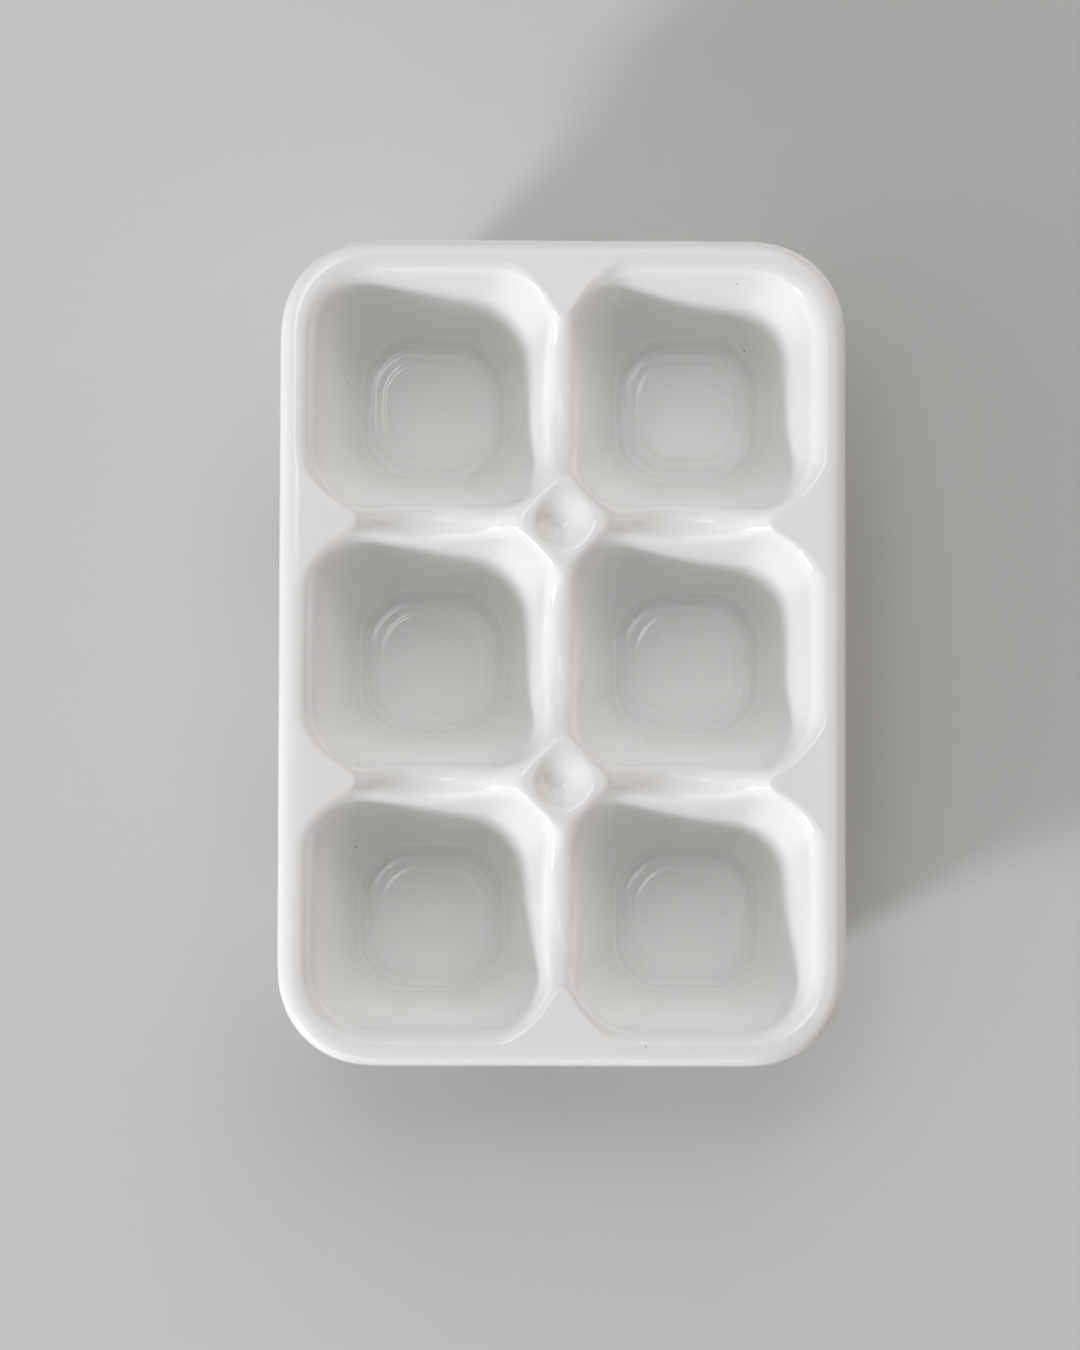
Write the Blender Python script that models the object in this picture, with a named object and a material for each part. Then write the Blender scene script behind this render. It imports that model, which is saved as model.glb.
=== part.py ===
"""Egg tray with two columns and three rows of wells, in glazed porcelain.

The tray is one casting. It is divided here into its members: a rim, cups, foot rings, ribs and posts.
"""

import math

import bmesh
import bpy

# Names of the columns from -X and of the rows from -Y
COLUMN_NAMES = ("left", "right")
ROW_NAMES = ("front", "middle", "back")

# Whole tray
HEIGHT = 0.0420           # table to the top of the rim
RIM_WIDTH = 0.0062        # edge of a mouth to the outer edge of the tray
RIM_EDGE = 0.0030         # rounding of the rim's outer top edge
SKIRT_DROP = 0.0032       # turned-down edge of the rim, below the seats of the cups
SKIRT_GAP = 0.0004        # hollow under the rim, between its skirt and a cup's top edge
SKIRT_EDGE = 0.0012       # rounding of the skirt's lower edge

# Wells
MOUTH = 0.0460            # between the flat sides, at the top of the rim
MOUTH_CORNER = 0.0120     # corner radius of the mouth
MOUTH_LIP = 0.0016        # rounding of the mouth's edge
LAND = 0.0035             # between two neighbouring mouths
CREASE_WIDTH = 0.0284     # eight-sided line where the wall turns into the hollow of the floor
CREASE_CORNER = 0.0076    # corner of the crease, along a side
CREASE_ROUND = 0.25       # 0 for a straight corner of the crease, 1 for a round one
CREASE_RISE = 0.0034      # crease above the floor
HOLLOW_WIDTH = 0.0044     # curved band between the crease and the flat floor
HOLLOW_STEEP = 0.0009     # how far the band runs in before it bends to the floor
WALL = 0.0038             # thickness of a cup, square to its wall
FLOOR = 0.0034            # thickness of a cup's floor
BASE_EDGE = 0.0016        # rounding of a cup's lower edge

# Foot rings
FOOT_HEIGHT = 0.0012
FOOT_WIDTH = 0.0030       # ring, from its outside to its inside
FOOT_INSET = 0.0004       # ring's outside behind the flat of the cup's base

# Saddle ribs
RIB_THICK = 0.0036        # rib above the seats of the cups, at its lowest point
RIB_STEP = 0.0016         # ends of a rib below the rim
RIB_SWEEP = 2.5           # power of the curve by which a rib turns up towards its ends
RIB_CREST = 0.0018        # height of the rounded top of a rib
GUSSET_REACH = 0.0092     # rim's gusset between two wells, inwards from the edge of their cells

# Diamond posts
POST_RISE = 0.0006        # post above the rim
POST_TIP = 0.0081         # middle of a post to a tip of its top
POST_SPREAD = 0.0011      # half the width of a tip
POST_FLARE = 0.0007       # foot of a tip beyond its top
POST_EDGE = 0.0011        # rounding of the edge of a post's top
DISH_BORDER = 0.0012      # flat border round the dish in a post's top
DISH_DEPTH = 0.0010

# Clearance between two members
SEAM = 0.0003

# Number of straight pieces in the curves
CORNER_STEPS = 6
EDGE_STEPS = 3
FILLET_STEPS = 4
RIB_STEPS = 10
POST_STEPS = 4
DISH_STEPS = 3

PITCH = MOUTH + LAND
CELL = PITCH / 2
HALF_X = (len(COLUMN_NAMES) * PITCH - LAND) / 2 + RIM_WIDTH
HALF_Y = (len(ROW_NAMES) * PITCH - LAND) / 2 + RIM_WIDTH
OUTER_CORNER = MOUTH_CORNER + RIM_WIDTH
CELL_INSET = RIM_WIDTH - LAND / 2
SKIRT_WALL = CELL_INSET + SEAM / 2 - SKIRT_GAP
POST_REACH = POST_TIP + POST_FLARE
FLOOR_WIDTH = CREASE_WIDTH - 2 * HOLLOW_WIDTH

BASE_Z = FOOT_HEIGHT + SEAM
FLOOR_Z = BASE_Z + FLOOR
CREASE_Z = FLOOR_Z + CREASE_RISE
TAPER = (MOUTH - CREASE_WIDTH) / 2 / (HEIGHT - CREASE_Z)
WALL_ACROSS = WALL * math.hypot(1, TAPER)
# Height below which the outer walls of two neighbouring cups stand apart
SEAT_Z = HEIGHT - (MOUTH / 2 + WALL_ACROSS + SEAM / 2 - CELL) / TAPER
SKIRT_Z = SEAT_Z - SKIRT_DROP


def clear_scene():
    for item in list(bpy.data.objects):
        bpy.data.objects.remove(item, do_unlink=True)


def glaze(name):
    """Give a member its own white glazed porcelain."""
    material = bpy.data.materials.new(name + "_porcelain")
    material.use_nodes = True
    shader = material.node_tree.nodes["Principled BSDF"]
    shader.inputs["Base Color"].default_value = (0.80, 0.79, 0.77, 1.0)
    shader.inputs["Roughness"].default_value = 0.12
    shader.inputs["Metallic"].default_value = 0.0
    return material


def bisque(name):
    """Give a foot ring its own bare porcelain."""
    material = bpy.data.materials.new(name + "_bare_porcelain")
    material.use_nodes = True
    shader = material.node_tree.nodes["Principled BSDF"]
    shader.inputs["Base Color"].default_value = (0.74, 0.71, 0.66, 1.0)
    shader.inputs["Roughness"].default_value = 0.75
    shader.inputs["Metallic"].default_value = 0.0
    return material


def mix(low, high, share):
    return low + (high - low) * share


def bend(start, corner, end, steps):
    """Points of a smooth bend from start to end that leaves and arrives along the lines to corner."""
    points = []
    for step in range(steps + 1):
        t = step / steps
        weights = ((1 - t) ** 2, 2 * t * (1 - t), t * t)
        points.append(tuple(
            weights[0] * a + weights[1] * b + weights[2] * c
            for a, b, c in zip(start, corner, end)
        ))
    return points


def wall_share(z):
    """Place on the wall of a well, from 0 at the crease to 1 at the mouth."""
    return (z - CREASE_Z) / (HEIGHT - CREASE_Z)


def well_half(z):
    """Half the width of a well at a height."""
    return CREASE_WIDTH / 2 + TAPER * (z - CREASE_Z)


def well_corner(z):
    """Length of a well's corner along its sides at a height."""
    return mix(CREASE_CORNER, MOUTH_CORNER, max(0, wall_share(z)))


def well_round(z):
    """Roundness of a well's corners at a height: they are fully round from the seats of the cups up."""
    return mix(CREASE_ROUND, 1.0, min(1, max(0, (z - CREASE_Z) / (SEAT_Z - CREASE_Z))))


def outline(half_x, half_y, corner, roundness, z, centre=(0.0, 0.0)):
    """Closed rectangle with round or cut-off corners, anticlockwise, at a height."""
    points = []
    for quadrant in range(4):
        turn = math.radians(90 * quadrant)
        reach_u, reach_v = (half_x, half_y) if quadrant % 2 == 0 else (half_y, half_x)
        for step in range(CORNER_STEPS + 1):
            share = step / CORNER_STEPS
            angle = math.radians(90) * share
            arc_u = reach_u - corner * (1 - math.cos(angle))
            arc_v = reach_v - corner * (1 - math.sin(angle))
            cut_u = reach_u - corner * share
            cut_v = reach_v - corner * (1 - share)
            u = mix(cut_u, arc_u, roundness)
            v = mix(cut_v, arc_v, roundness)
            points.append((
                centre[0] + u * math.cos(turn) - v * math.sin(turn),
                centre[1] + u * math.sin(turn) + v * math.cos(turn),
                z,
            ))
    return points


def well_outline(z, centre, outward=0.0, level=None):
    """Outline of a well's wall at a height, moved outward in plan and set at a level."""
    roundness = well_round(z)
    half = well_half(z) + outward
    spread = mix(2 - math.sqrt(2), 1.0, roundness)
    corner = well_corner(z) + outward * spread
    return outline(half, half, corner, roundness, z if level is None else level, centre)


def wall_reach(along, z):
    """Distance from a well's middle line to its wall, beside a point along the wall."""
    half = well_half(z)
    corner = well_corner(z)
    past = min(corner, max(0.0, abs(along) - (half - corner)))
    return half - corner + math.sqrt(corner * corner - past * past)


def add_mesh(name, mesh_parts, material):
    mesh = bpy.data.meshes.new(name)
    mesh_parts.to_mesh(mesh)
    mesh_parts.free()
    mesh.shade_smooth()
    mesh.set_sharp_from_angle(angle=math.radians(38))
    if material:
        mesh.materials.append(material)
    member = bpy.data.objects.new(name, mesh)
    bpy.context.scene.collection.objects.link(member)
    return member


def loft(name, loops, material, ring=False):
    """Join loops of points with faces: closed by two end faces, or end to end as a ring."""
    shape = bmesh.new()
    rows = [[shape.verts.new(point) for point in loop] for loop in loops]
    pairs = list(zip(rows, rows[1:]))
    if ring:
        pairs.append((rows[-1], rows[0]))
    else:
        shape.faces.new(rows[0])
        shape.faces.new(rows[-1])
    for low, high in pairs:
        for i in range(len(low)):
            after = (i + 1) % len(low)
            shape.faces.new((low[i], low[after], high[after], high[i]))
    bmesh.ops.recalc_face_normals(shape, faces=shape.faces)
    return add_mesh(name, shape, material)


def cutter(name, loops):
    tool = loft(name, loops, None)
    tool.hide_render = True
    tool.display_type = "WIRE"
    return tool


def cut(member, tool):
    step = member.modifiers.new(tool.name, "BOOLEAN")
    step.operation = "DIFFERENCE"
    step.solver = "EXACT"
    step.object = tool


def cell_centre(column, row):
    x = (column - (len(COLUMN_NAMES) - 1) / 2) * PITCH
    y = (row - (len(ROW_NAMES) - 1) / 2) * PITCH
    return x, y


def base_half():
    """Half the width of the flat under a cup."""
    return well_half(BASE_Z) + WALL_ACROSS - BASE_EDGE


def build_cup(name, centre):
    """Cup: a shell from the flat base up to the edge that carries the rim, the ribs and the posts."""
    top = SEAT_Z - SEAM
    loops = []
    base_curve = bend(
        (base_half(), BASE_Z),
        (base_half() + BASE_EDGE, BASE_Z),
        (well_half(BASE_Z + BASE_EDGE) + WALL_ACROSS, BASE_Z + BASE_EDGE),
        EDGE_STEPS,
    )
    for half, z in base_curve:
        loops.append(well_outline(z, centre, half - well_half(z)))
    loops.append(well_outline(CREASE_Z, centre, WALL_ACROSS))
    loops.append(well_outline(top, centre, WALL_ACROSS))
    loops.append(well_outline(top, centre))
    loops.append(well_outline((CREASE_Z + top) / 2, centre))
    hollow = bend(
        (CREASE_WIDTH / 2, CREASE_Z, CREASE_CORNER, CREASE_ROUND),
        (CREASE_WIDTH / 2 - HOLLOW_STEEP, FLOOR_Z, CREASE_CORNER, CREASE_ROUND),
        (FLOOR_WIDTH / 2, FLOOR_Z, CREASE_CORNER * FLOOR_WIDTH / CREASE_WIDTH, 1.0),
        FILLET_STEPS,
    )
    for half, z, corner, roundness in hollow:
        loops.append(outline(half, half, corner, roundness, z, centre))
    return loft(name, loops, glaze(name))


def build_foot(name, centre):
    """Foot ring: the unglazed ring under a cup."""
    outer = base_half() - FOOT_INSET - well_half(BASE_Z)
    inner = outer - FOOT_WIDTH
    loops = [
        well_outline(BASE_Z, centre, outer, 0.0),
        well_outline(BASE_Z, centre, outer, FOOT_HEIGHT),
        well_outline(BASE_Z, centre, inner, FOOT_HEIGHT),
        well_outline(BASE_Z, centre, inner, 0.0),
    ]
    return loft(name, loops, bisque(name), ring=True)


def well_tool(name, centre):
    """Shape of a well from under the seats to above the rim, with the rounded lip of the mouth."""
    lip_z = HEIGHT - MOUTH_LIP
    lip = bend(
        (well_half(lip_z), lip_z),
        (MOUTH / 2, HEIGHT),
        (MOUTH / 2 + MOUTH_LIP, HEIGHT),
        EDGE_STEPS,
    )
    loops = [well_outline(SKIRT_Z - SKIRT_DROP, centre)]
    for half, z in lip:
        loops.append(well_outline(z, centre, half - well_half(z)))
    loops.append(well_outline(HEIGHT, centre, MOUTH_LIP, HEIGHT + MOUTH_LIP))
    return cutter(name, loops)


def build_rim():
    """Rim: a rounded block cut by the wells, by the field of ribs and posts and by the hollow under it."""
    edge = bend((SKIRT_EDGE, SKIRT_Z), (0.0, SKIRT_Z), (0.0, SKIRT_Z + SKIRT_EDGE), EDGE_STEPS)
    edge += bend((0.0, HEIGHT - RIM_EDGE), (0.0, HEIGHT), (RIM_EDGE, HEIGHT), EDGE_STEPS + 1)
    loops = [
        outline(HALF_X - inset, HALF_Y - inset, OUTER_CORNER - inset, 1.0, z)
        for inset, z in edge
    ]
    rim = loft("rim_frame", loops, glaze("rim_frame"))

    for row, row_name in enumerate(ROW_NAMES):
        for column, column_name in enumerate(COLUMN_NAMES):
            name = "well_tool_" + row_name + "_" + column_name
            cut(rim, well_tool(name, cell_centre(column, row)))

    field = CELL_INSET + GUSSET_REACH
    below = SKIRT_Z - SKIRT_DROP
    edge = [(field, below)]
    edge += bend(
        (field, HEIGHT - MOUTH_LIP),
        (field, HEIGHT),
        (field - MOUTH_LIP, HEIGHT),
        EDGE_STEPS,
    )
    edge.append((field - MOUTH_LIP, HEIGHT + MOUTH_LIP))
    loops = [
        outline(HALF_X - inset, HALF_Y - inset, MOUTH_CORNER, 1.0, z)
        for inset, z in edge
    ]
    cut(rim, cutter("field_tool", loops))

    loops = [
        outline(HALF_X - SKIRT_WALL, HALF_Y - SKIRT_WALL, OUTER_CORNER - SKIRT_WALL, 1.0, z)
        for z in (below, SEAT_Z)
    ]
    cut(rim, cutter("hollow_tool", loops))
    return rim


def rib_height(along):
    """Height of a rib's crest, at a distance from its middle."""
    share = abs(along) / (CELL - POST_REACH)
    return mix(SEAT_Z + RIB_THICK, HEIGHT - RIB_STEP, share ** RIB_SWEEP)


def build_rib(name, centre, lengthwise, start_reach, end_reach):
    """Rib: a saddle on the edges of two cups, between a post or gusset at each end."""
    start = -(CELL - start_reach - SEAM)
    end = CELL - end_reach - SEAM
    loops = []
    for step in range(RIB_STEPS + 1):
        along = mix(start, end, step / RIB_STEPS)
        crest = rib_height(along)
        low = crest - RIB_CREST
        half = [CELL - wall_reach(along, z) for z in (SEAT_Z, low, crest)]
        side = bend((half[1], low), (half[2], crest), (0.0, crest), EDGE_STEPS + 1)
        section = [(half[0], SEAT_Z)] + side
        section += [(-across, z) for across, z in reversed(section[:-1])]
        loop = []
        for across, z in section:
            if lengthwise:
                loop.append((centre[0] + across, centre[1] + along, z))
            else:
                loop.append((centre[0] + along, centre[1] + across, z))
        loops.append(loop)
    return loft(name, loops, glaze(name))


def round_post(quarter, z, centre):
    """Repeat the points of a quarter of a post round its middle."""
    points = []
    for quadrant in range(4):
        turn = math.radians(90 * quadrant)
        for u, v in quarter:
            points.append((
                centre[0] + u * math.cos(turn) - v * math.sin(turn),
                centre[1] + u * math.sin(turn) + v * math.cos(turn),
                z,
            ))
    return points


def post_side(reach, z, centre):
    """Outline of a post at a height, with the walls of the four wells round it as its sides."""
    corner = well_corner(z)
    middle = CELL - well_half(z) + corner
    first = math.acos((middle - reach) / corner)
    quarter = [(reach, 0.0)]
    for step in range(POST_STEPS + 1):
        angle = mix(first, math.radians(90) - first, step / POST_STEPS)
        quarter.append((middle - corner * math.cos(angle), middle - corner * math.sin(angle)))
    return round_post(quarter, z, centre)


def post_top(share, z, centre):
    """Diamond with straight sides and blunt tips, as a share of a post's top."""
    tip = POST_TIP * share
    spread = POST_SPREAD * share
    quarter = [(tip, 0.0)]
    for step in range(POST_STEPS + 1):
        along = step / POST_STEPS
        quarter.append((mix(tip, spread, along), mix(spread, tip, along)))
    return round_post(quarter, z, centre)


def build_post(name, centre):
    """Post: a diamond with a dished top, its sides the corners of four wells."""
    top = HEIGHT + POST_RISE
    loops = [
        post_side(POST_REACH, SEAT_Z, centre),
        post_side(POST_REACH, HEIGHT - RIB_STEP, centre),
        post_side((POST_REACH + POST_TIP) / 2, top - POST_EDGE, centre),
        post_top(1.0, top, centre),
    ]
    rim_share = 1 - DISH_BORDER / POST_TIP
    for step in range(DISH_STEPS):
        share = 1 - step / DISH_STEPS
        loops.append(post_top(rim_share * share, top - DISH_DEPTH * (1 - share * share), centre))
    return loft(name, loops, glaze(name))


clear_scene()
last_column = len(COLUMN_NAMES) - 1
last_row = len(ROW_NAMES) - 1

for row, row_name in enumerate(ROW_NAMES):
    for column, column_name in enumerate(COLUMN_NAMES):
        place = row_name + "_" + column_name
        build_cup("cup_" + place, cell_centre(column, row))
        build_foot("foot_" + place, cell_centre(column, row))

build_rim()

for row in range(last_row):
    for column, column_name in enumerate(COLUMN_NAMES):
        x, y = cell_centre(column, row)
        start_reach = GUSSET_REACH if column == 0 else POST_REACH
        end_reach = GUSSET_REACH if column == last_column else POST_REACH
        side = "front" if row == 0 else "back"
        build_rib("rib_" + side + "_" + column_name, (x, y + CELL), False, start_reach, end_reach)

for column in range(last_column):
    for row, row_name in enumerate(ROW_NAMES):
        x, y = cell_centre(column, row)
        start_reach = GUSSET_REACH if row == 0 else POST_REACH
        end_reach = GUSSET_REACH if row == last_row else POST_REACH
        build_rib("spine_" + row_name, (x + CELL, y), True, start_reach, end_reach)
    for row in range(last_row):
        x, y = cell_centre(column, row)
        side = "front" if row == 0 else "back"
        build_post("post_" + side, (x + CELL, y + CELL))
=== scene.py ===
import math

import bmesh
import bpy
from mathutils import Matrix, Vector


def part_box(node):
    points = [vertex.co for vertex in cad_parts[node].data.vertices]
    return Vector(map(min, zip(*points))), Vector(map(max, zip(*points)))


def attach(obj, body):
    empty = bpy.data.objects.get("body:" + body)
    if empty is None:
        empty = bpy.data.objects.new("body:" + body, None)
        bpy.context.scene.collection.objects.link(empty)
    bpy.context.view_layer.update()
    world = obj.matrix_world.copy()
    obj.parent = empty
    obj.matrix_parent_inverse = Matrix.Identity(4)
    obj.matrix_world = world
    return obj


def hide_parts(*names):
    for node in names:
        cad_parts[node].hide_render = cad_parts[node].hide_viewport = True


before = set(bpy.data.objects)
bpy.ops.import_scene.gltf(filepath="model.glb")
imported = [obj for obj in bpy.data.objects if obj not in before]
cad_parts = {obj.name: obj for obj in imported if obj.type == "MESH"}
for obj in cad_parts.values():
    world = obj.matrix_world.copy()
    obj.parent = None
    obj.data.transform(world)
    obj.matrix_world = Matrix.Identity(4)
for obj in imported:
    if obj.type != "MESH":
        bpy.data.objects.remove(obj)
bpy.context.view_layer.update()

# Six wells
# Each well is a square funnel with round corners that narrows to an eight-sided
# floor, where a hollow runs round a low platform. Slip-cast porcelain, glazed
# white, and one skin with the ribs between the wells.
rim_low, rim_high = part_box("rim_frame")
TOP = rim_high.z
left_low, left_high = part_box("cup_middle_left")
right_low, right_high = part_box("cup_middle_right")
PITCH = (right_low.x + right_high.x - left_low.x - left_high.x) / 2
CELL = PITCH / 2
RIM_STRAIGHT = 0.0110
RIM_CORNER = CELL - RIM_STRAIGHT
RIM_CREST = TOP - 0.00015

# The wall of a well, from its mouth down to the crease round its floor, with corners that
# are fully round from a share of that height up
MOUTH_HALF = 0.0230
MOUTH_CORNER = 0.0120
CREASE_HALF = 0.0142
CREASE_CORNER = 0.0076
CREASE_Z = 0.0084
CREASE_ROUND = 0.52
FULLY_ROUND = 0.4
WALL_HEIGHTS = (0.0225, 0.0100, CREASE_Z)

# Half width, corner, roundness, height and crease of each line across the floor
FLOOR_LINES = (
    (0.01384, 0.00745, 0.52, 0.00815, 0.0),
    (0.01332, 0.00722, 0.54, 0.00642, 0.0),
    (0.01266, 0.00700, 0.57, 0.00494, 0.6),
    (0.01198, 0.00682, 0.60, 0.00494, 0.0),
    (0.01140, 0.00680, 0.66, 0.00508, 0.0),
    (0.00990, 0.00640, 0.76, 0.00511, 0.0),
    (0.00935, 0.00620, 0.80, 0.00523, 0.0),
    (0.00820, 0.00560, 0.85, 0.00525, 0.0),
    (0.00160, 0.00150, 1.00, 0.00524, 0.0),
)

# Where the points stand along each kind of corner, up to its middle
POST_SHARES = (0.12, 0.24, 0.37)
RIM_SHARES = (0.0, 0.17, 0.34)
GUSSET_SHARES = (0.07, 0.155, 0.25)
CREASE_SHARES = (0.0, 0.20, 0.36)
FLOOR_CORNERS = [(0.03, 0.20, 0.36)] * 4

# The lips, and the ribs that sag between posts and gussets. Of the ten points to a side of
# a well, five lie along its ribs or rim and two at the tips of a post or gusset
SIDE_POINTS = 10
RIB_PLACES = (0, 1, 2, 8, 9)
TIP_PLACES = (3, 7)
LIP_EASE = 0.0011
LIP_DROP = 0.0024
RIB_EASE = 0.0013
RIB_DROP = 0.0034
RIB_KNOT = 0.0068
RIB_MIDDLE = 0.0367
RIB_AT_POST = 0.0399
RIB_AT_GUSSET = 0.0401
RIB_POWER = 2.7
STEP_RUN = 0.0030

# The edges of posts and gussets
_, post_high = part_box("post_front")
POST_TOP = post_high.z
POST_TIP = 0.0098
POST_SIDE = (0.25, 0.5, 0.75)
TIP_DROP = 0.0011
GUSSET_TIP = 0.0107
GUSSET_ARC = ((18, 0.0137), (45, 0.0132), (74.5, 0.0128))
WELD = 0.00002


def mix(a, b, share):
    return a + (b - a) * share


def both_ways(shares):
    """Shares along a corner, mirrored about its middle."""
    return (*shares, 0.5, *[1 - share for share in reversed(shares)])


def turned(x, y, quarter):
    """A point of the well's right-hand side, turned to one of its four sides."""
    return ((x, y), (-y, x), (-x, -y), (y, -x))[quarter]


def on_corner(angle, radius):
    """A point at an angle and a radius from the centre of a well's outer corner."""
    turn = math.radians(angle)
    return (RIM_STRAIGHT + radius * math.cos(turn), RIM_STRAIGHT + radius * math.sin(turn))


def rounded_square(half, corner, roundness, corners):
    """Forty points round a square with cut or rounded corners, ten to a side."""
    straight = half - corner
    points = []
    for quarter, shares in enumerate(corners):
        side = [(half, 0.0), (half, straight / 2)]
        for share in both_ways(shares):
            turn = math.radians(90) * share
            cut_x = half - corner * share
            cut_y = straight + corner * share
            arc_x = straight + corner * math.cos(turn)
            arc_y = straight + corner * math.sin(turn)
            side.append((mix(cut_x, arc_x, roundness), mix(cut_y, arc_y, roundness)))
        side.append((straight / 2, half))
        points += [turned(x, y, quarter) for x, y in side]
    return points


def wall_outline(z, rims):
    """The well's inner wall at one height: cut corners at the floor, round ones at the mouth."""
    share = (z - CREASE_Z) / (TOP - CREASE_Z)
    half = mix(CREASE_HALF, MOUTH_HALF, share)
    corner = mix(CREASE_CORNER, MOUTH_CORNER, share)
    roundness = min(1.0, mix(CREASE_ROUND, 1.0, share / FULLY_ROUND))
    corners = []
    for side in range(4):
        rim_sides = rims[side] + rims[(side + 1) % 4]
        lip_shares = (POST_SHARES, GUSSET_SHARES, RIM_SHARES)[rim_sides]
        corners.append([mix(a, b, share) for a, b in zip(CREASE_SHARES, lip_shares)])
    return rounded_square(half, corner, roundness, corners)


def level(points, z):
    return [Vector((x, y, z)) for x, y in points]


def rib_crest(share, end_z):
    """Height of a rib's crest, a saddle that is lowest half way along."""
    return mix(RIB_MIDDLE, end_z, share ** RIB_POWER)


def crest_loop(rims):
    """The line round one well along the middle of its ribs and the edges of its posts and rim."""
    points = []
    for side in range(4):
        here, after = rims[side], rims[(side + 1) % 4]
        places = [(CELL, 0.0), (CELL, RIB_KNOT)]
        if here and after:
            places += [on_corner(90 * share, RIM_CORNER) for share in both_ways(RIM_SHARES)]
            heights = [RIM_CREST] * SIDE_POINTS
        else:
            if here or after:
                tip, end_z, corner_z = GUSSET_TIP, RIB_AT_GUSSET, TOP
            else:
                tip, end_z, corner_z = POST_TIP, RIB_AT_POST, POST_TOP
            step = CELL - tip - STEP_RUN
            saddle = [rib_crest(along / step, end_z) for along in (0.0, RIB_KNOT, step)]
            # Three points before the corner, five round it and two after it
            heights = [RIM_CREST] * 3 if here else list(saddle)
            heights += [corner_z] * 5
            heights += [RIM_CREST] * 2 if after else [saddle[2], saddle[1]]
            places += [(CELL, step), (CELL, CELL - tip)]
            if here:
                places += [on_corner(angle, radius) for angle, radius in GUSSET_ARC]
            elif after:
                places += [on_corner(90 - angle, radius) for angle, radius in reversed(GUSSET_ARC)]
            else:
                places += [(CELL - tip * share, CELL - tip * (1 - share)) for share in POST_SIDE]
            places += [(CELL - tip, CELL), (step, CELL)]
        places.append((RIB_KNOT, CELL))
        for (x, y), z in zip(places, heights):
            points.append(Vector((*turned(x, y, side), z)))
    return points


def lip_loops(rims, crest):
    """The lip's corner and the top of the wall below it, which dip with the ribs."""
    lip = []
    wall = []
    for number, point in enumerate(crest):
        corner, place = divmod(number, SIDE_POINTS)
        side = (corner + (place > SIDE_POINTS / 2)) % 4
        at_post = not rims[corner] and not rims[(corner + 1) % 4]
        on_rib = place in RIB_PLACES and not rims[side]
        z = point.z - (RIB_EASE if on_rib else LIP_EASE)
        if place in TIP_PLACES and at_post:
            z = TOP - TIP_DROP
        lip.append(Vector((*wall_outline(z, rims)[number], z)))
        z -= RIB_DROP if on_rib else LIP_DROP
        wall.append(Vector((*wall_outline(z, rims)[number], z)))
    return [lip, wall]


def number_loop():
    """Numbers the first loop's points, so that each later loop can be placed point by point."""
    mesh = bmesh.from_edit_mesh(bpy.context.object.data)
    numbers = mesh.verts.layers.int.new("around")
    mesh.verts.ensure_lookup_table()
    for vertex in mesh.verts:
        vertex[numbers] = vertex.index
    bmesh.update_edit_mesh(bpy.context.object.data)


def place_loop(points):
    """Moves the selected loop onto its points."""
    mesh = bmesh.from_edit_mesh(bpy.context.object.data)
    numbers = mesh.verts.layers.int["around"]
    for vertex in mesh.verts:
        if vertex.select:
            vertex.co = points[vertex[numbers]]
    bmesh.update_edit_mesh(bpy.context.object.data)


def select_where(test):
    """Selects the points that pass the test, with the edges and faces between them."""
    bpy.ops.mesh.select_all(action="DESELECT")
    mesh = bmesh.from_edit_mesh(bpy.context.object.data)
    for vertex in mesh.verts:
        vertex.select = test(vertex)
    mesh.select_flush(True)
    bmesh.update_edit_mesh(bpy.context.object.data)


def draw_loops(name, centre, loops, closed, creases):
    """Extrudes a circle from loop to loop, and ends in a face or joins the last to the first."""
    bpy.ops.object.select_all(action="DESELECT")
    bpy.ops.mesh.primitive_circle_add(vertices=len(loops[0]), radius=CELL, location=centre)
    piece = bpy.context.object
    piece.name = name
    bpy.ops.object.mode_set(mode="EDIT")
    number_loop()
    place_loop(loops[0])
    for count, loop in enumerate(loops[1:], 1):
        bpy.ops.mesh.extrude_edges_move()
        place_loop(loop)
        if creases.get(count):
            bpy.ops.transform.edge_crease(value=creases[count])
    if closed:
        select_where(lambda vertex: vertex.is_boundary)
        bpy.ops.mesh.bridge_edge_loops()
    else:
        bpy.ops.mesh.edge_face_add()
    bpy.ops.object.mode_set(mode="OBJECT")
    return piece


def join_pieces(name, pieces):
    """Joins pieces into one mesh at the origin and welds the points they share."""
    bpy.ops.object.select_all(action="DESELECT")
    for piece in pieces:
        piece.select_set(True)
    bpy.context.view_layer.objects.active = pieces[0]
    bpy.ops.object.join()
    whole = bpy.context.object
    whole.name = name
    whole.data.name = name
    bpy.ops.object.transform_apply(location=True, rotation=True, scale=True)
    bpy.ops.object.mode_set(mode="EDIT")
    bpy.ops.mesh.select_all(action="SELECT")
    bpy.ops.mesh.remove_doubles(threshold=WELD)
    bpy.ops.object.mode_set(mode="OBJECT")
    return whole


# The centre of each well, and which of its right, back, left and front sides lie on the rim
WELLS = {}
for row, row_name in ((-1, "front"), (0, "middle"), (1, "back")):
    for column, column_name in ((-1, "left"), (1, "right")):
        cup_low, cup_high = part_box(f"cup_{row_name}_{column_name}")
        centre = ((cup_low.x + cup_high.x) / 2, (cup_low.y + cup_high.y) / 2, 0.0)
        rims = (column == 1, row == 1, column == -1, row == -1)
        WELLS[f"{row_name}_{column_name}"] = (centre, rims)

wells = []
for well_name, (centre, rims) in WELLS.items():
    crest = crest_loop(rims)
    loops = [crest, *lip_loops(rims, crest)]
    for z in WALL_HEIGHTS:
        loops.append(level(wall_outline(z, rims), z))
    creases = {}
    for half, corner, roundness, z, crease in FLOOR_LINES:
        creases[len(loops)] = crease
        loops.append(level(rounded_square(half, corner, roundness, FLOOR_CORNERS), z))
    wells.append(draw_loops("well_" + well_name, centre, loops, False, creases))
tray = join_pieces("porcelain_tray", wells)

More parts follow.
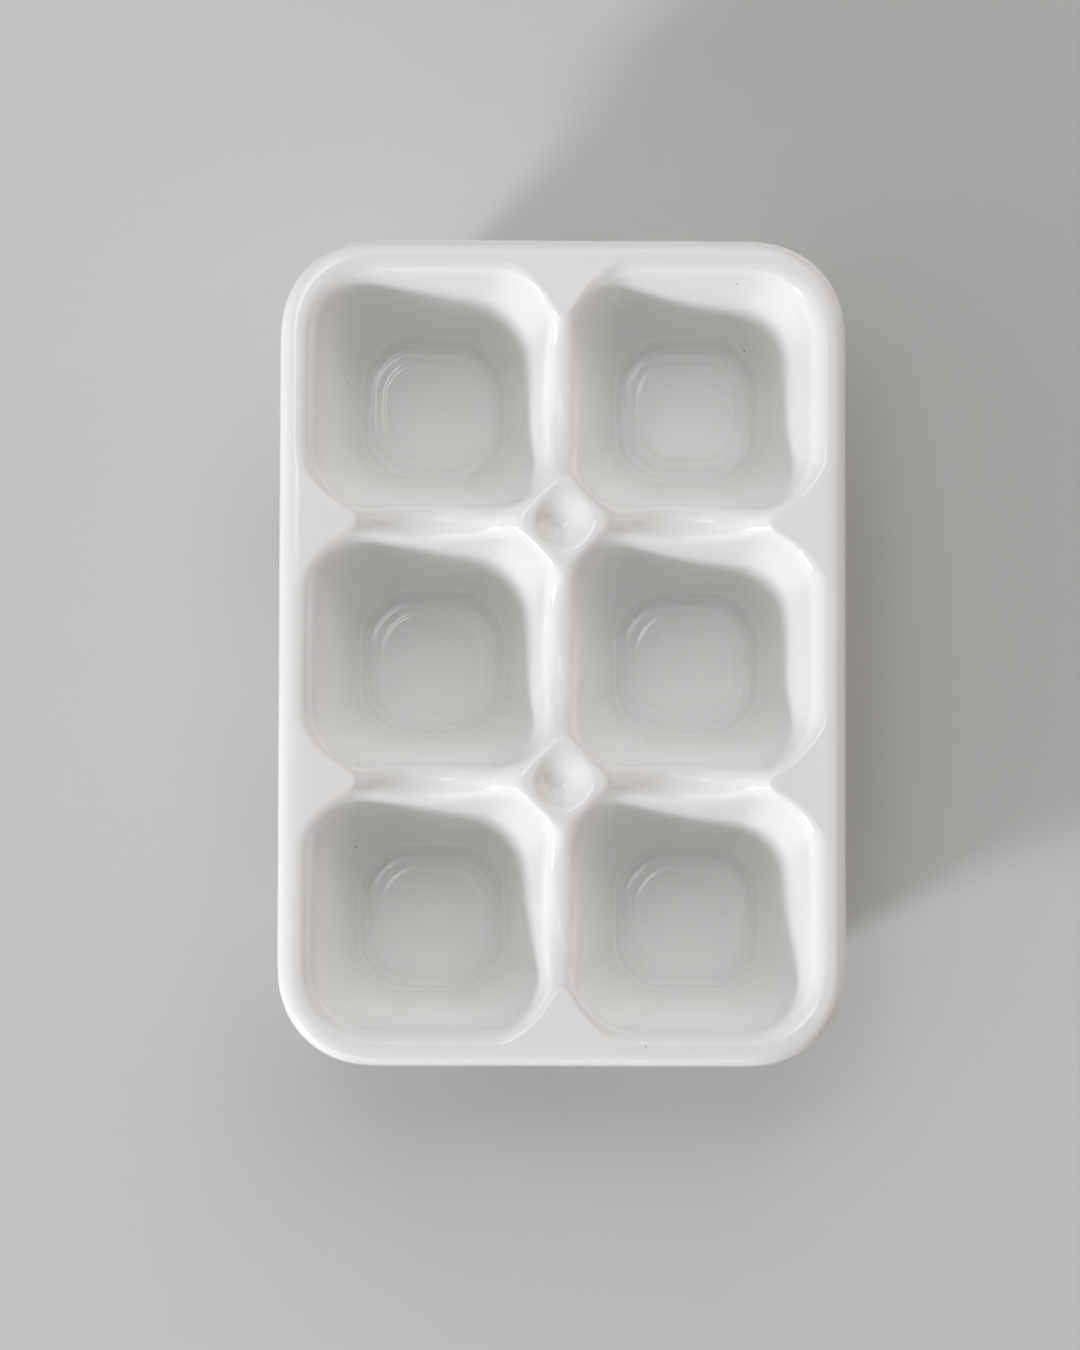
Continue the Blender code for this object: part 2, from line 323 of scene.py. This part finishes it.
# Two posts and six gussets
# Where the ribs cross stands a diamond with a shallow dish in its top, and where
# they meet the rim a half diamond at the rim's height. Part of the same casting.
PICK_SLACK = 0.0002
GUSSET_BORDER = 0.0009

# Scale, drop, roundness and shift to the left of each line from a post's edge to its middle
POST_DISH = (
    (0.78, 0.0, 0.45, 0.0),
    (0.86, 0.00012, 0.85, 0.0),
    (0.74, 0.00065, 1.0, 0.0003),
    (0.62, 0.0008, 1.0, 0.0004),
    (0.50, 0.00035, 1.0, 0.0002),
)


def post_edge(x, y):
    """A test for the open edge of the hole where a post goes."""
    reach = POST_TIP + PICK_SLACK
    return lambda v: v.is_boundary and abs(v.co.x - x) + abs(v.co.y - y) < reach


def gusset_edge(x, y):
    """A test for the open edge of the notch where a gusset goes."""
    reach = GUSSET_TIP + PICK_SLACK
    return lambda v: v.is_boundary and max(abs(v.co.x - x), abs(v.co.y - y)) < reach


bpy.ops.object.mode_set(mode="EDIT")
for cross_y in (-CELL, CELL):
    select_where(post_edge(0, cross_y))
    bpy.ops.mesh.edge_face_add()
    for scale, drop, roundness, aside in POST_DISH:
        bpy.ops.mesh.extrude_region_move()
        bpy.ops.transform.resize(value=(scale, scale, 1), center_override=(0, cross_y, 0))
        bpy.ops.transform.tosphere(value=roundness)
        bpy.ops.transform.translate(value=(-aside, 0, -drop))
gussets = [(x, y) for x in (-PITCH, PITCH) for y in (-CELL, CELL)]
gussets += [(0, -1.5 * PITCH), (0, 1.5 * PITCH)]
for cross_x, cross_y in gussets:
    select_where(gusset_edge(cross_x, cross_y))
    bpy.ops.mesh.edge_face_add()
    bpy.ops.mesh.inset(thickness=GUSSET_BORDER, use_boundary=False)

# Rim and skirt
# The rim is a crowned band round the wells, turned down outside into a short
# skirt. Same casting, glazed all over.
OUTER_CORNER = 0.0172
CORNER_X = rim_high.x - OUTER_CORNER
CORNER_Y = rim_high.y - OUTER_CORNER
SKIRT_FOOT = rim_low.z
SKIRT_WALL = 0.0042
SKIRT_EASE = 0.0012

# Distance from the rim's outside, and height, of each line from the crown round the skirt
RIM_LINES = (
    (0.00305, TOP - 0.0001),
    (0.00165, TOP - 0.00034),
    (0.00065, TOP - 0.0010),
    (0.0, TOP - 0.0026),
    (0.0, TOP - 0.0065),
    (0.0, SKIRT_FOOT + SKIRT_EASE),
    (0.0006, SKIRT_FOOT),
    (SKIRT_WALL - 0.0008, SKIRT_FOOT),
    (SKIRT_WALL, SKIRT_FOOT + SKIRT_EASE),
)


def extend_edge(inset, z):
    """Extrudes the selected outer edge to the outline that lies inset from the rim's outside."""
    bpy.ops.mesh.extrude_edges_move()
    mesh = bmesh.from_edit_mesh(bpy.context.object.data)
    for vertex in mesh.verts:
        if vertex.select:
            x = max(-CORNER_X, min(CORNER_X, vertex.co.x))
            y = max(-CORNER_Y, min(CORNER_Y, vertex.co.y))
            outward = Vector((vertex.co.x - x, vertex.co.y - y, 0)).normalized()
            vertex.co = Vector((x, y, z)) + outward * (OUTER_CORNER - inset)
    bmesh.update_edit_mesh(bpy.context.object.data)


select_where(lambda v: v.is_boundary)
for inset, z in RIM_LINES:
    extend_edge(inset, z)
bpy.ops.object.mode_set(mode="OBJECT")

# Underside
# Below the rim each well stands out as a tapered cup with a flat base, and the
# cups meet in grooves under the ribs. Same casting, glazed down to the feet.
WALL = 0.00393
CUP_CORNER_GROWTH = 0.8
CUP_FULLY_ROUND = 0.7
CUP_HEIGHTS = (0.0300, 0.0050, 0.0020)
GROOVE_Z = 0.0331
GROOVE_KNOTS = (0.0110, 0.0072, 0.0036)
BASE_Z = 0.0015
BASE_HALF = 0.0157
BASE_CORNER = 0.0087
BASE_ROUND = 0.25
BASE_MIDDLE_HALF = 0.0020
BASE_MIDDLE_CORNER = 0.0019


def groove_loop(rims):
    """The line round one cup where it meets its neighbours and the skirt."""
    points = []
    for side in range(4):
        here, after = rims[side], rims[(side + 1) % 4]
        places = [(CELL, 0.0), (CELL, RIB_KNOT)]
        if here and after:
            places += [on_corner(90 * share, RIM_CORNER) for share in both_ways(RIM_SHARES)]
        else:
            places += [(CELL, CELL - away) for away in (*GROOVE_KNOTS, 0.0)]
            places += [(CELL - away, CELL) for away in reversed(GROOVE_KNOTS)]
        places.append((RIB_KNOT, CELL))
        points += [Vector((*turned(x, y, side), GROOVE_Z)) for x, y in places]
    return points


def cup_outline(z):
    """The cup's outer wall at one height, a wall's thickness outside the well."""
    share = (z - CREASE_Z) / (TOP - CREASE_Z)
    half = mix(CREASE_HALF, MOUTH_HALF, share) + WALL
    corner = mix(CREASE_CORNER, MOUTH_CORNER, share) + WALL * CUP_CORNER_GROWTH
    roundness = min(1.0, max(BASE_ROUND, mix(CREASE_ROUND, 1.0, share / CUP_FULLY_ROUND)))
    share = max(0.0, share)
    shares = [mix(a, b, share) for a, b in zip(CREASE_SHARES, POST_SHARES)]
    return rounded_square(half, corner, roundness, [shares] * 4)


base_edge = rounded_square(BASE_HALF, BASE_CORNER, BASE_ROUND, [CREASE_SHARES] * 4)
base_middle = rounded_square(BASE_MIDDLE_HALF, BASE_MIDDLE_CORNER, 1.0, FLOOR_CORNERS)
cups = []
for well_name, (centre, rims) in WELLS.items():
    loops = [groove_loop(rims)]
    for z in CUP_HEIGHTS:
        loops.append(level(cup_outline(z), z))
    loops.append(level(base_edge, BASE_Z))
    loops.append(level(base_middle, BASE_Z))
    cups.append(draw_loops("cup_outside_" + well_name, centre, loops, False, {}))
underside = join_pieces("underside", cups)
tray = join_pieces("porcelain_tray", [tray, underside])
bpy.ops.object.mode_set(mode="EDIT")
select_where(lambda v: v.is_boundary)
bpy.ops.mesh.bridge_edge_loops()
bpy.ops.mesh.select_all(action="SELECT")
bpy.ops.mesh.normals_make_consistent(inside=False)
bpy.ops.object.mode_set(mode="OBJECT")
smooth = tray.modifiers.new("smooth", "SUBSURF")
smooth.levels = 2
smooth.render_levels = 2
bpy.ops.object.modifier_apply(modifier=smooth.name)
bpy.ops.object.shade_smooth()

# Glaze
# A white glassy coat covers the whole casting down to the feet. The casting is
# dipped and fired, and the coat melts thin on edges and pools low in the wells.

# Where the coat begins to thin, and over what range: by how sharply an edge turns, in
# radians per metre. Where the painted shade on the tops begins, and over what range: by
# how high and how level a top lies
THIN_FROM = 150
THIN_RANGE = 450
CROWN_FROM = 0.0345
CROWN_RANGE = 0.003
LEVEL_FROM = 0.55
LEVEL_RANGE = 0.42


def unit(value):
    return max(0.0, min(1.0, value))


def mark_thin_glaze_and_shaded_tops(piece):
    """Stores how sharply the skin turns outward at each point, where melting glaze runs thin,
    and where it lies high and level on top, where the tops are painted in shade."""
    mesh = bmesh.new()
    mesh.from_mesh(piece.data)
    mesh.normal_update()
    turns = []
    for vertex in mesh.verts:
        arms = [vertex.co - edge.other_vert(vertex).co for edge in vertex.link_edges]
        bends = [2 * arm.dot(vertex.normal) / arm.length_squared for arm in arms]
        turns.append(sum(bends) / len(arms))
    crown = piece.data.attributes.new("shaded_level_top", "FLOAT", "POINT")
    thin = piece.data.attributes.new("thin_glaze", "FLOAT", "POINT")
    for vertex in mesh.verts:
        near = [turns[edge.other_vert(vertex).index] for edge in vertex.link_edges]
        turn = (turns[vertex.index] + sum(near) / len(near)) / 2
        thin.data[vertex.index].value = unit((turn - THIN_FROM) / THIN_RANGE)
        # High, level tops are marked for painted shade, a little darker and warmer
        high = unit((vertex.co.z - CROWN_FROM) / CROWN_RANGE)
        flat = unit((vertex.normal.z - LEVEL_FROM) / LEVEL_RANGE)
        crown.data[vertex.index].value = high * flat
    mesh.free()


mark_thin_glaze_and_shaded_tops(tray)

glaze = bpy.data.materials.new("white_glaze")
glaze.use_nodes = True
nodes, links = glaze.node_tree.nodes, glaze.node_tree.links
surface = nodes["Principled BSDF"]
surface.inputs["IOR"].default_value = 1.52
place = nodes.new("ShaderNodeTexCoord")

# The glaze's depth varies slowly, so its white does
cloud = nodes.new("ShaderNodeTexNoise")
cloud.inputs["Scale"].default_value = 34
cloud.inputs["Detail"].default_value = 3
links.new(place.outputs["Object"], cloud.inputs["Vector"])
whites = nodes.new("ShaderNodeValToRGB")
whites.color_ramp.elements[0].position = 0.34
whites.color_ramp.elements[0].color = (0.856, 0.856, 0.854, 1)
whites.color_ramp.elements[1].position = 0.66
whites.color_ramp.elements[1].color = (0.882, 0.882, 0.881, 1)
links.new(cloud.outputs["Fac"], whites.inputs["Fac"])

# It pools a little greener low in the wells
height = nodes.new("ShaderNodeSeparateXYZ")
links.new(place.outputs["Object"], height.inputs["Vector"])
depth = nodes.new("ShaderNodeMapRange")
depth.inputs["From Min"].default_value = 0.036
depth.inputs["From Max"].default_value = 0.020
depth.inputs["To Max"].default_value = 0.8
links.new(height.outputs["Z"], depth.inputs["Value"])
pooled = nodes.new("ShaderNodeMix")
pooled.data_type = "RGBA"
pooled.inputs["B"].default_value = (0.866, 0.868, 0.851, 1)
links.new(depth.outputs["Result"], pooled.inputs["Factor"])
links.new(whites.outputs["Color"], pooled.inputs["A"])

# Painted shade: the high, level tops are painted a little darker and warmer, toning
# down the light they catch from above. The warmer body shows through where the
# glaze is thin on lips and edges
crown = nodes.new("ShaderNodeAttribute")
crown.attribute_name = "shaded_level_top"
painted_shade_tops = nodes.new("ShaderNodeMix")
painted_shade_tops.data_type = "RGBA"
painted_shade_tops.inputs["B"].default_value = (0.814, 0.806, 0.798, 1)
links.new(crown.outputs["Fac"], painted_shade_tops.inputs["Factor"])
links.new(pooled.outputs["Result"], painted_shade_tops.inputs["A"])
thin = nodes.new("ShaderNodeAttribute")
thin.attribute_name = "thin_glaze"
patchy = nodes.new("ShaderNodeMapRange")
patchy.inputs["From Min"].default_value = 0.30
patchy.inputs["From Max"].default_value = 0.70
patchy.inputs["To Min"].default_value = 0.15
patchy.inputs["To Max"].default_value = 0.75
links.new(cloud.outputs["Fac"], patchy.inputs["Value"])
warmth = nodes.new("ShaderNodeMath")
warmth.operation = "MULTIPLY"
links.new(thin.outputs["Fac"], warmth.inputs[0])
links.new(patchy.outputs["Result"], warmth.inputs[1])
warmed = nodes.new("ShaderNodeMix")
warmed.data_type = "RGBA"
warmed.inputs["B"].default_value = (0.78, 0.715, 0.665, 1)
links.new(warmth.outputs["Value"], warmed.inputs["Factor"])
links.new(painted_shade_tops.outputs["Result"], warmed.inputs["A"])

# A few dark pinpricks from iron in the clay
cells = nodes.new("ShaderNodeTexVoronoi")
cells.inputs["Scale"].default_value = 110
links.new(place.outputs["Object"], cells.inputs["Vector"])
pinprick = nodes.new("ShaderNodeMapRange")
pinprick.inputs["From Min"].default_value = 0.040
pinprick.inputs["From Max"].default_value = 0.018
links.new(cells.outputs["Distance"], pinprick.inputs["Value"])
chosen = nodes.new("ShaderNodeMath")
chosen.operation = "GREATER_THAN"
chosen.inputs[1].default_value = 0.72
links.new(cells.outputs["Color"], chosen.inputs[0])
speck = nodes.new("ShaderNodeMath")
speck.operation = "MULTIPLY"
links.new(pinprick.outputs["Result"], speck.inputs[0])
links.new(chosen.outputs["Value"], speck.inputs[1])
specked = nodes.new("ShaderNodeMix")
specked.data_type = "RGBA"
specked.inputs["B"].default_value = (0.16, 0.13, 0.11, 1)
links.new(speck.outputs["Value"], specked.inputs["Factor"])
links.new(warmed.outputs["Result"], specked.inputs["A"])
links.new(specked.outputs["Result"], surface.inputs["Base Color"])

# Gloss is a little uneven, and the skin has the faint waves of a dipped glaze
sheen = nodes.new("ShaderNodeMapRange")
sheen.inputs["To Min"].default_value = 0.05
sheen.inputs["To Max"].default_value = 0.13
links.new(cloud.outputs["Fac"], sheen.inputs["Value"])
links.new(sheen.outputs["Result"], surface.inputs["Roughness"])
waves = nodes.new("ShaderNodeTexNoise")
waves.inputs["Scale"].default_value = 240
waves.inputs["Detail"].default_value = 2
links.new(place.outputs["Object"], waves.inputs["Vector"])
ripple = nodes.new("ShaderNodeBump")
ripple.inputs["Strength"].default_value = 0.6
ripple.inputs["Distance"].default_value = 0.00002
links.new(waves.outputs["Fac"], ripple.inputs["Height"])
links.new(ripple.outputs["Normal"], surface.inputs["Normal"])

tray.data.materials.clear()
tray.data.materials.append(glaze)
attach(tray, "root")
casting = [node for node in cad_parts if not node.startswith("foot_")]
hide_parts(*casting)

# Six foot rings
# Each cup stands on an eight-sided ring that is wiped bare of glaze and ground
# flat after firing. Bare porcelain, one with the cup above it.
foot_low, foot_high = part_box("foot_middle_left")
FOOT_HALF = (foot_high.x - foot_low.x) / 2
FOOT_LAP = 0.0001
FOOT_TOP = BASE_Z + FOOT_LAP
FOOT_WIDTH = 0.0030
FOOT_EASE = 0.0005
FOOT_CORNER = 0.0080
FOOT_CORNER_LOSS = 0.4
FOOT_ROUND = 0.30
FOOT_SOFT_EDGE = 0.0002

bare = bpy.data.materials.new("bare_porcelain")
bare.use_nodes = True
nodes, links = bare.node_tree.nodes, bare.node_tree.links
surface = nodes["Principled BSDF"]
place = nodes.new("ShaderNodeTexCoord")
stain = nodes.new("ShaderNodeTexNoise")
stain.inputs["Scale"].default_value = 90
stain.inputs["Detail"].default_value = 5
links.new(place.outputs["Object"], stain.inputs["Vector"])
creams = nodes.new("ShaderNodeValToRGB")
creams.color_ramp.elements[0].position = 0.30
creams.color_ramp.elements[0].color = (0.60, 0.56, 0.50, 1)
creams.color_ramp.elements[1].position = 0.62
creams.color_ramp.elements[1].color = (0.78, 0.75, 0.70, 1)
links.new(stain.outputs["Fac"], creams.inputs["Fac"])
links.new(creams.outputs["Color"], surface.inputs["Base Color"])
surface.inputs["Roughness"].default_value = 0.75
grit = nodes.new("ShaderNodeTexNoise")
grit.inputs["Scale"].default_value = 2600
grit.inputs["Detail"].default_value = 3
links.new(place.outputs["Object"], grit.inputs["Vector"])
tooth = nodes.new("ShaderNodeBump")
tooth.inputs["Strength"].default_value = 0.5
tooth.inputs["Distance"].default_value = 0.00006
links.new(grit.outputs["Fac"], tooth.inputs["Height"])
links.new(tooth.outputs["Normal"], surface.inputs["Normal"])

ring_loops = []
for inset, z in (
    (0.0, FOOT_TOP),
    (0.0, FOOT_EASE),
    (FOOT_EASE, 0.0),
    (FOOT_WIDTH - FOOT_EASE, 0.0),
    (FOOT_WIDTH, FOOT_EASE),
    (FOOT_WIDTH, FOOT_TOP),
):
    half = FOOT_HALF - inset
    corner = FOOT_CORNER - FOOT_CORNER_LOSS * inset
    ring_loops.append(level(rounded_square(half, corner, FOOT_ROUND, FLOOR_CORNERS), z))
first_foot = draw_loops("foot_ring", (0, 0, 0), ring_loops, True, {})
bpy.ops.object.mode_set(mode="EDIT")
bpy.ops.mesh.select_all(action="SELECT")
bpy.ops.mesh.normals_make_consistent(inside=False)
bpy.ops.object.mode_set(mode="OBJECT")
soften = first_foot.modifiers.new("soften", "BEVEL")
soften.width = FOOT_SOFT_EDGE
soften.segments = 2
soften.limit_method = "ANGLE"
bpy.ops.object.modifier_apply(modifier=soften.name)
bpy.ops.object.shade_smooth_by_angle(angle=math.radians(35))
first_foot.data.materials.append(bare)
feet = [first_foot]
while len(feet) < len(WELLS):
    bpy.ops.object.select_all(action="DESELECT")
    first_foot.select_set(True)
    bpy.context.view_layer.objects.active = first_foot
    bpy.ops.object.duplicate(linked=False)
    feet.append(bpy.context.object)
for foot, well_name in zip(feet, WELLS):
    centre = WELLS[well_name][0]
    bpy.ops.object.select_all(action="DESELECT")
    foot.select_set(True)
    bpy.context.view_layer.objects.active = foot
    foot.name = "foot_ring_" + well_name
    foot.data.name = foot.name
    bpy.ops.transform.translate(value=centre)
    bpy.ops.object.transform_apply(location=True, rotation=True, scale=True)
    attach(foot, "root")
    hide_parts("foot_" + well_name)

# Floor, light and camera
# A plain pale floor, a window at the left with soft light round it, and the
# camera over the tray as in the photograph.
FLOOR_SIZE = 6.0
ROOM_LIGHT = 0.02
LAMP_DISTANCE = 2.0
LAMP_AIM = Vector((0, 0, 0.03))
WHITE = (1.0, 1.0, 1.0)
COOL = (0.985, 0.995, 1.02)
WARM = (1.0, 0.80, 0.61)

# Name, angle round the tray from its right, rise, width, height, watts and colour of each lamp
LAMPS = (
    ("window_left", 217.5, 21.2, 0.26, 0.25, 19.6, COOL),
    ("window_left_haze", 217.5, 20.4, 0.44, 0.54, 4.6, COOL),
    ("window_front", 242, 15, 2.6, 1.0, 11.6, WHITE),
    ("soft_left", 180, 49, 1.8, 2.2, 8.6, WHITE),
    ("skylight", 131, 72, 0.44, 0.44, 2.0, WHITE),
    ("soft_back", 94, 40, 1.8, 2.2, 15.4, WHITE),
    ("soft_back_right", 43, 54, 1.8, 2.4, 11.4, WHITE),
    ("warm_right_low", 0, 18, 1.8, 0.7, 6.0, WARM),
)
SENSOR = 36.0
FOCAL_PIXELS = 6656
PICTURE_PIXELS = 1350
CAMERA_PLACE = (-0.02114, -0.09028, 1.300)
CAMERA_TURN = (0.067893, -0.013383, 0.002613)

bpy.ops.object.select_all(action="DESELECT")
bpy.ops.mesh.primitive_plane_add(size=FLOOR_SIZE)
ground = bpy.context.object
ground.name = "floor"
pale = bpy.data.materials.new("pale_floor")
pale.use_nodes = True
surface = pale.node_tree.nodes["Principled BSDF"]
surface.inputs["Base Color"].default_value = (0.58, 0.58, 0.575, 1)
surface.inputs["Roughness"].default_value = 0.6
ground.data.materials.append(pale)

world = bpy.data.worlds.new("room")
bpy.context.scene.world = world
world.use_nodes = True
background = world.node_tree.nodes["Background"]
background.inputs["Color"].default_value = (1, 1, 1, 1)
background.inputs["Strength"].default_value = ROOM_LIGHT

for lamp_name, angle, rise, width, height, watts, colour in LAMPS:
    turn, lift = math.radians(angle), math.radians(rise)
    flat = Vector((math.cos(turn), math.sin(turn), 0)) * math.cos(lift)
    away = (flat + Vector((0, 0, math.sin(lift)))) * LAMP_DISTANCE
    bpy.ops.object.light_add(type="AREA", location=away + LAMP_AIM)
    lamp = bpy.context.object
    lamp.name = lamp_name
    lamp.data.shape = "RECTANGLE"
    lamp.data.size = width
    lamp.data.size_y = height
    lamp.data.energy = watts
    lamp.data.color = colour
    lamp.rotation_euler = (-away).to_track_quat("-Z", "Y").to_euler()

camera_data = bpy.data.cameras.new("camera")
camera = bpy.data.objects.new("camera", camera_data)
bpy.context.scene.collection.objects.link(camera)
camera_data.sensor_fit = "VERTICAL"
camera_data.sensor_height = SENSOR
camera_data.lens = SENSOR * FOCAL_PIXELS / PICTURE_PIXELS
camera_data.clip_end = 20.0
camera.location = CAMERA_PLACE
camera.rotation_mode = "ZXY"
camera.rotation_euler = CAMERA_TURN
bpy.context.scene.camera = camera
bpy.context.scene.view_settings.view_transform = "Standard"
